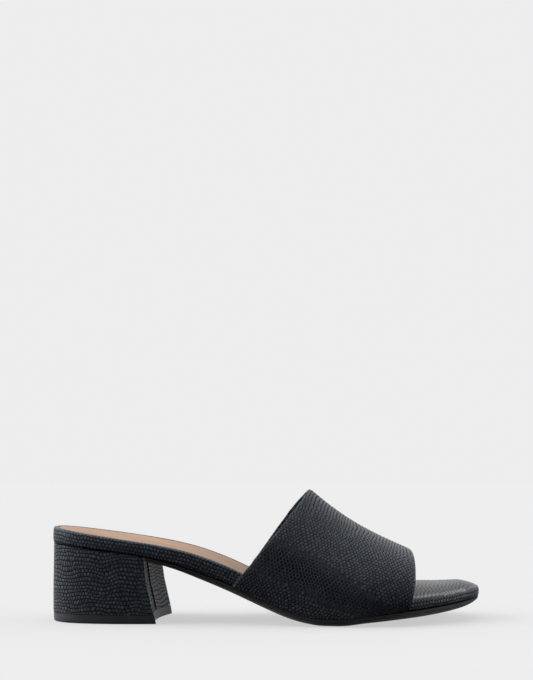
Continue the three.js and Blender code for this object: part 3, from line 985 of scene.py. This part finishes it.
@dataclass(frozen=True)
class Light:
    """One soft light: where it comes from in degrees, with azimuth 0 at the toe, and how strong it is."""

    name: str
    azimuth: float
    height: float
    strength: float
    softness: float = 50.0

    def build(self) -> None:
        """Adds the light."""
        bpy.ops.object.light_add(type="SUN")
        lamp = bpy.context.object
        lamp.name = self.name
        azimuth, height = math.radians(self.azimuth), math.radians(self.height)
        source = Vector((math.cos(azimuth) * math.cos(height), math.sin(azimuth) * math.cos(height),
                         math.sin(height)))
        lamp.rotation_euler = source.to_track_quat("Z", "Y").to_euler()
        lamp.data.energy = self.strength
        lamp.data.angle = math.radians(self.softness)


@dataclass
class Studio:
    """Pale floor, even pale surroundings, three soft lights and the camera of the photograph."""

    lights: tuple[Light, ...] = (
        Light("top_light", azimuth=250, height=76, strength=0.4),
        Light("left_light", azimuth=182, height=27, strength=2.7),
        Light("right_light", azimuth=-5, height=16, strength=1.7))
    white: str = "ffffff"
    backdrop: str = "ededed"
    glow_direction: tuple[float, float, float] = (-0.15, 0.74, 0.65)
    glow_least: float = 0.03
    glow_most: float = 1.2
    glow_full: float = 0.9
    floor_glow: float = 0.546
    floor_share: float = 0.233
    room_radius: float = 6.0
    room_rings: int = 24
    camera_place: tuple[float, float, float] = (-0.00706, -0.75072, 0.08596)
    camera_direction: tuple[float, float, float] = (0.00864, 0.99525, 0.09694)
    lens: float = 68.77
    sensor: float = 36.0
    nearest: float = 0.01
    farthest: float = 200.0

    def floor(self) -> None:
        """Lays the floor."""
        bpy.ops.mesh.primitive_plane_add(size=2 * self.room_radius)
        floor = bpy.context.object
        floor.name = "pale_floor"
        material, tree = new_material("matt_paper_floor")
        surface(tree, {
            "Base Color": (self.floor_share,) * 3 + (1.0,), "Roughness": 1.0, "Specular IOR Level": 0.0,
            "Emission Color": linear(self.white), "Emission Strength": self.floor_glow})
        floor.data.materials.append(material)
        floor.visible_diffuse = False
        floor.visible_glossy = False

    def surroundings(self) -> None:
        """Sets surroundings that glow from above and behind, and the backdrop that only the camera sees."""
        world = bpy.data.worlds.new("studio")
        world.use_nodes = True
        tree = world.node_tree
        direction = add_node(tree, "ShaderNodeTexCoord").outputs["Generated"]
        facing = add_node(tree, "ShaderNodeVectorMath", {0: direction, 1: self.glow_direction},
                          operation="DOT_PRODUCT")
        glow = add_node(tree, "ShaderNodeMapRange", {
            "Value": facing.outputs["Value"], "From Min": 0.0, "From Max": self.glow_full,
            "To Min": self.glow_least, "To Max": self.glow_most}, interpolation_type="SMOOTHSTEP")
        background = tree.nodes["Background"]
        background.inputs["Color"].default_value = linear(self.white)
        tree.links.new(glow.outputs["Result"], background.inputs["Strength"])
        bpy.context.scene.world = world
        bpy.context.scene.view_settings.view_transform = "Standard"
        bpy.ops.mesh.primitive_uv_sphere_add(segments=2 * self.room_rings, ring_count=self.room_rings,
                                             radius=self.room_radius)
        backdrop = bpy.context.object
        backdrop.name = "pale_backdrop"
        for ray in ("diffuse", "glossy", "transmission", "volume_scatter", "shadow"):
            setattr(backdrop, f"visible_{ray}", False)
        material, tree = new_material("pale_paper_backdrop")
        glow = add_node(tree, "ShaderNodeEmission", {"Color": linear(self.backdrop), "Strength": 1.0})
        add_node(tree, "ShaderNodeOutputMaterial", {"Surface": glow.outputs[0]})
        backdrop.data.materials.append(material)

    def camera(self) -> None:
        """Places the camera that the photograph was fitted with."""
        bpy.ops.object.camera_add(location=self.camera_place)
        camera = bpy.context.object
        camera.rotation_euler = Vector(self.camera_direction).to_track_quat("-Z", "Y").to_euler()
        camera.data.lens = self.lens
        camera.data.sensor_width = self.sensor
        camera.data.clip_start = self.nearest
        camera.data.clip_end = self.farthest
        bpy.context.scene.camera = camera

    def build(self) -> None:
        """Builds the whole studio."""
        self.floor()
        self.surroundings()
        for light in self.lights:
            light.build()
        self.camera()


# Wavy rows of scales round the heel.
HEEL_GRAIN = Grain(row=2.1, scale=2.0, flat_part=0.45, wander=1.8, wander_length=18, row_groove=0.85)
# Scales in straight rows along the footbed's edge.
EDGE_GRAIN = Grain(row=2.0, scale=1.95, flat_part=0.4, wander=0.3, row_groove=0.8)
# Zigzag ribs across the toe.
TOE_GRAIN = Grain(row=1.7, scale=2.1, flat_part=0.35, wander=0.6, zigzag=3.0, row_groove=0.6)
# Scales like a honeycomb, long ribs over the ridge and a slanting swath of pits low on the side, whose
# near-black bottoms are relief and painted shade that darkens the band's lower side.
BAND_GRAIN = Grain(row=1.65, scale=1.95, flat_part=0.45, wander=1.6, wander_length=22, bulge=0.14,
                   ridge_zone=36, pit_middle=58, pit_reach=12)
# Smooth dull dark grey under the black cover.
LIFT_RUBBER = Rubber("smooth_lift_rubber", colour="3b3c42", worn="46474d", roughness=0.5)
# Near black and dull, the sole's upper edge.
MOULDED_RUBBER = Rubber("moulded_sole_rubber", colour="242427", worn="313134", roughness=0.6)
# Dusty grey where the sole is ground off, a thin light line under its dark edge.
GROUND_RUBBER = Rubber("ground_sole_rubber", colour="77767a", worn="8a898c", roughness=0.8)
# Black with dark blue-grey scale tops that catch the light.
HEEL_LEATHER = LizardLeather("heel_lizard_leather", HEEL_GRAIN, top="535c67")
# The same round the footbed, a little brighter on its scales.
EDGE_LEATHER = LizardLeather("edge_lizard_leather", EDGE_GRAIN, top="56606d")
# Polished black that mirrors the pale room from a low angle.
TOE_LEATHER = LizardLeather("top_lizard_leather", TOE_GRAIN, specular=0.4, coat=0.35)
# Painted highlight: the same leather, lighter and glossier, in a bright line along the cushion's rim at the
# toe.
TOE_RIM_HIGHLIGHT = LizardLeather("painted_toe_rim_highlight", TOE_GRAIN, top="747a82", roughness=0.32,
                             specular=0.6, coat=0.6)
# The largest face of the shoe: black, soft in its gloss, lighter over the ridge.
BAND_LEATHER = LizardLeather("band_lizard_leather", BAND_GRAIN, top="454d57")
# Warm matt tan, the one light surface of the shoe.
TAN_LEATHER = SmoothLeather("tan_sock_leather", colour="ad8a6e", darker="9d7b5f", roughness=0.6)
# Black without gloss, so that the band's inside reads as a hollow.
BAND_LINING = SmoothLeather("black_band_lining", colour="0c0c0d", darker="080809", roughness=0.75)
# Painted shadow: a deep black line in the cover's lapped seam.
LAP_SEAM_SHADOW = SmoothLeather("painted_lap_seam_shadow", colour="060606", darker="040404", roughness=0.9)


def dress(piece: bpy.types.Object, node: str) -> None:
    """Lets a piece ride and stand for its node.

    Args:
        piece: The piece.
        node: CAD node that it stands for.
    """
    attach(piece, BODY)
    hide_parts(node)
    triangles = sum(len(p.vertices) - 2 for p in piece.data.polygons)
    LOG.info("%s stands for %s, %d triangles", piece.name, node, triangles)


def main() -> None:
    """Builds the sandal and its studio in order."""
    logging.basicConfig(level=logging.INFO, format="%(message)s")
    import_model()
    lift, block, outsole = HeelLift(), HeelBlock(), Outsole()
    footbed, sock, band = Footbed(), SockLining(), Band()
    dress(lift.build(LIFT_RUBBER), lift.node)
    dress(block.build(HEEL_LEATHER, LAP_SEAM_SHADOW), block.node)
    dress(outsole.build(MOULDED_RUBBER, GROUND_RUBBER), outsole.node)
    dress(footbed.build(EDGE_LEATHER, TOE_LEATHER, TOE_RIM_HIGHLIGHT), footbed.node)
    dress(sock.build(TAN_LEATHER), sock.node)
    dress(band.build(BAND_LEATHER, BAND_LINING), band.node)
    Studio().build()


if __name__ == "__main__":
    main()
